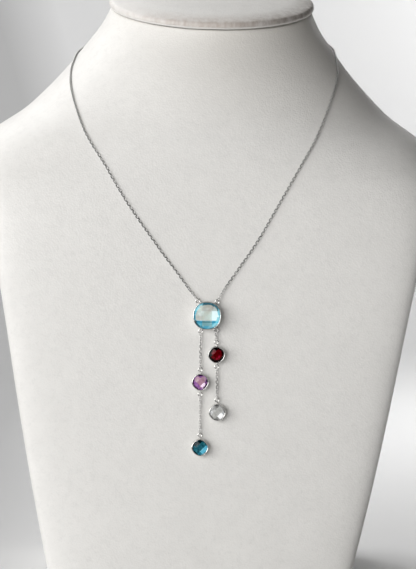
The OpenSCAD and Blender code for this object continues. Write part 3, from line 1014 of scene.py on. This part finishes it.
class NECKLACE_OT_stones(bpy.types.Operator):
    """Give the five cut stones their colours, with painted light and shade on their panes"""

    bl_idname = "necklace.stones"
    bl_label = "Stones"

    def execute(self, context):
        finish = context.scene.necklace_stones
        sizes = context.scene.necklace_settings
        tones = stone_tones(finish)
        for stone, place_at in stone_places().items():
            width = sizes.large_stone if stone == "topaz" else sizes.small_stone
            index, clearness = STONE_OPTICS[stone]
            piece = copy_of_node(stone + "_stone", stone + "_cut", FACET_ANGLE)
            inwards = Matrix.Scale(2 / width, 4) @ place_at.inverted()
            color_panes(piece, inwards, STONE_PANES[stone], tones[stone])
            material = cut_stone(
                stone.capitalize() + " stone", index, clearness * finish.clarity,
                *STONE_PANES[stone][3:],
                TOPAZ_SHELF if stone == "topaz" else None)
            finish_piece(piece, material, [stone + "_stone"])
            # Light falls through the stones on to the leatherette behind them
            piece.visible_shadow = False
        return {"FINISHED"}


class NECKLACE_OT_neck_chain(bpy.types.Operator):
    """Lay the fine cable chain round the neck, link by link"""

    bl_idname = "necklace.neck_chain"
    bl_label = "Neck chain"

    def execute(self, context):
        sizes = context.scene.necklace_chain
        rings = context.scene.necklace_settings
        reach = first_link_reach(sizes, rings.ring_radius, rings.ring_wire)
        silver = polished_silver(
            "Chain silver", shaded(rings.silver_color, CHAIN_SHADE), *CHAIN_POLISH,
            CHAIN_METALLIC)
        surface = leather_surface()
        for side, name, node, angle, route in (
                (-1, "neck_links_left", "neck_chain_left", TOPAZ_RING_ANGLES[0], ROUTE_LEFT),
                (1, "neck_links_right", "neck_chain_right", TOPAZ_RING_ANGLES[1], ROUTE_RIGHT)):
            start = CHEST @ topaz_ring(angle, RING_LEVEL)
            end = CLASP_AT + Vector((side * CLASP_LOOP_X, 0, 0))
            matrices, length = chain_on_bust(start, route, end, sizes, reach, surface)
            if not matrices:
                raise RuntimeError("the neck chain has no links")
            print(name, len(matrices), "links,", round(length / MM, 1), "mm")
            piece = lay_links(name, model_link("neck_link", sizes, 12, 5), matrices, surface)
            finish_piece(piece, silver, [node])
        return {"FINISHED"}


class NECKLACE_OT_drop_chains(bpy.types.Operator):
    """Hang the short chains between the stones"""

    bl_idname = "necklace.drop_chains"
    bl_label = "Drop chains"

    def execute(self, context):
        sizes = context.scene.necklace_chain
        rings = context.scene.necklace_settings
        reach = first_link_reach(sizes, rings.ring_radius, rings.ring_wire)
        silver = bpy.data.materials["Chain silver"]
        surface = leather_surface()
        for name, hung, start, end in (
                ("left_upper", LEFT_STRAND, 0, AMETHYST_DOWN - SMALL_RING_REACH),
                ("left_lower", LEFT_STRAND, AMETHYST_DOWN + SMALL_RING_REACH,
                 TEAL_DOWN - SMALL_RING_REACH),
                ("right_upper", RIGHT_STRAND, 0, GARNET_DOWN - SMALL_RING_REACH),
                ("right_lower", RIGHT_STRAND, GARNET_DOWN + SMALL_RING_REACH,
                 CLEAR_DOWN - SMALL_RING_REACH)):
            run = end - start - 2 * reach
            # A run that is a whole number of pitches, but for rounding, takes no link more
            steps = math.ceil(run / longest_pitch(sizes) - 0.001)
            turn = math.pi * round(steps / 2 - 0.01) / steps
            matrices = [
                strand(*hung, start + reach + i * run / steps)
                @ Matrix.Translation((0, 0, RING_LEVEL))
                @ Matrix.Rotation(math.pi / 2 + i * turn, 4, "Y")
                for i in range(steps + 1)]
            link = model_link("drop_link", sizes, 16, 8)
            piece = lay_links("drop_links_" + name, link, matrices, surface)
            finish_piece(piece, silver, ["drop_chain_" + name])
        return {"FINISHED"}


class NECKLACE_OT_clasp(bpy.types.Operator):
    """Model the plain ring clasp at the nape"""

    bl_idname = "necklace.clasp"
    bl_label = "Clasp"

    def execute(self, context):
        rings = context.scene.necklace_settings
        pieces = [wire_ring("clasp_ring", CLASP_RADIUS, CLASP_WIRE, (0, 0, 0), 48, 16)]
        for side in (-1, 1):
            at = (side * CLASP_LOOP_X, 0, 0)
            pieces.append(wire_ring("clasp_loop", rings.ring_radius, rings.ring_wire, at))
        piece = join("ring_clasp", pieces)
        bpy.ops.object.transform_apply(location=True, rotation=True, scale=True)
        bpy.ops.object.shade_smooth()
        place(piece, Matrix.Translation(CLASP_AT) @ Matrix.Rotation(
            math.radians(CLASP_LEAN), 4, "X"))
        finish_piece(piece, bpy.data.materials["Polished silver"], ["clasp"])
        return {"FINISHED"}


class NECKLACE_OT_stage(bpy.types.Operator):
    """Set the floor, the lights and the camera"""

    bl_idname = "necklace.stage"
    bl_label = "Stage"

    def execute(self, context):
        light = context.scene.necklace_light
        self.make_floor(light)
        self.make_lights(context, light)
        data = bpy.data.cameras.new("Camera")
        data.lens = CAMERA_LENS
        data.sensor_width = 36
        data.clip_start = 0.01
        camera = bpy.data.objects.new("Camera", data)
        rotation = Matrix((CAMERA_RIGHT, CAMERA_UP, -Vector(CAMERA_FORWARD))).transposed()
        camera.matrix_world = Matrix.Translation(CAMERA_AT) @ rotation.to_4x4()
        context.scene.collection.objects.link(camera)
        context.scene.camera = camera
        return {"FINISHED"}

    def make_floor(self, light):
        bpy.ops.mesh.primitive_plane_add(size=FLOOR_SIZE, location=(0, FLOOR_MIDDLE, 0))
        floor = name_last("floor")
        bpy.ops.object.transform_apply(location=True, rotation=True, scale=True)
        select_where(
            floor, "EDGE",
            lambda edge: all(floor.data.vertices[i].co.y > FLOOR_SIZE / 2 for i in edge.vertices))
        bpy.ops.mesh.extrude_edges_move(TRANSFORM_OT_translate={"value": (0, 0, WALL_HEIGHT)})
        stop_edit()
        add_modifier(
            floor, "BEVEL", "Sweep", width=SWEEP, segments=16, limit_method="ANGLE",
            angle_limit=math.radians(60))
        bpy.ops.object.shade_smooth()
        material, tree, shader = new_material("Floor")
        coordinates = tree.nodes.new("ShaderNodeTexCoord").outputs["Object"]
        # The stage is painted greyer to the left of the bust, as shade, along a line that leans with
        # its height
        split = tree.nodes.new("ShaderNodeSeparateXYZ")
        tree.links.new(coordinates, split.inputs["Vector"])
        leaning = calculate(
            tree, "ADD", split.outputs["X"],
            calculate(tree, "MULTIPLY", split.outputs["Z"], LEFT_LEAN))
        color = mix_colors(
            tree, remap(tree, leaning, *LEFT_EDGE, 0, 1), shaded(light.floor_color, LEFT_SHADE),
            light.floor_color)
        tree.links.new(color, shader.inputs["Base Color"])
        shader.inputs["Roughness"].default_value = 0.7
        floor.data.materials.append(material)

    def make_lights(self, context, light):
        world = bpy.data.worlds.new("Studio")
        world.use_nodes = True
        background = world.node_tree.nodes["Background"]
        background.inputs["Color"].default_value = ROOM_COLOR
        background.inputs["Strength"].default_value = light.sky_strength
        context.scene.world = world
        context.scene.view_settings.view_transform = "Standard"
        # Each lamp's size is in metres and its spread in degrees
        for name, power, size, spread, place_at, aim in (
                ("Window", light.window_power, (2.8, 1.4), 180, (-1.44, -1.6, 0.52), BUST_MIDDLE),
                ("Skylight", 11, (1, 1), 180, (-1.5, 0.4, 1.7), BUST_MIDDLE),
                ("Rear", 18.5, (1, 1), 180, (-0.7, 1.22, 1.83), BUST_MIDDLE),
                ("Backdrop", 5.3, (0.6, 0.6), 100, (0.9, 0.9, 0.6), (0.9, 1.7, 0.5)),
                ("Floor", 0.65, (0.4, 0.4), 50, (0.5, 0.5, 0.8), (0.33, 0.36, 0))):
            data = bpy.data.lights.new(name, "AREA")
            data.shape = "RECTANGLE"
            data.size, data.size_y = size
            data.energy = power
            data.spread = math.radians(spread)
            lamp = bpy.data.objects.new(name, data)
            lamp.location = place_at
            direction = Vector(aim) - Vector(place_at)
            lamp.rotation_euler = direction.to_track_quat("-Z", "Y").to_euler()
            context.scene.collection.objects.link(lamp)


OPERATORS = (
    NECKLACE_OT_stage, NECKLACE_OT_bust, NECKLACE_OT_cap, NECKLACE_OT_settings,
    NECKLACE_OT_stones, NECKLACE_OT_neck_chain, NECKLACE_OT_drop_chains, NECKLACE_OT_clasp,
)


class NECKLACE_PT_panel(bpy.types.Panel):
    """Lists the necklace's pieces"""

    bl_idname = "NECKLACE_PT_panel"
    bl_label = "Gemstone Drop Necklace"
    bl_space_type = "VIEW_3D"
    bl_region_type = "UI"
    bl_category = "Necklace"

    def draw(self, context):
        for operator in OPERATORS:
            self.layout.operator(operator.bl_idname)


GROUPS = (
    ("necklace_bust", BustFinish), ("necklace_stones", StoneFinish),
    ("necklace_settings", SettingSizes), ("necklace_chain", ChainSizes),
    ("necklace_light", StudioLight),
)


def register():
    for attribute, group in GROUPS:
        bpy.utils.register_class(group)
        setattr(bpy.types.Scene, attribute, PointerProperty(type=group))
    for operator in OPERATORS:
        bpy.utils.register_class(operator)
    bpy.utils.register_class(NECKLACE_PT_panel)


def unregister():
    bpy.utils.unregister_class(NECKLACE_PT_panel)
    for operator in reversed(OPERATORS):
        bpy.utils.unregister_class(operator)
    for attribute, group in reversed(GROUPS):
        delattr(bpy.types.Scene, attribute)
        bpy.utils.unregister_class(group)


def main():
    register()
    bpy.ops.necklace.stage()
    bpy.ops.necklace.bust()
    bpy.ops.necklace.cap()
    bpy.ops.necklace.settings()
    bpy.ops.necklace.stones()
    bpy.ops.necklace.neck_chain()
    bpy.ops.necklace.drop_chains()
    bpy.ops.necklace.clasp()


if __name__ == "__main__":
    main()
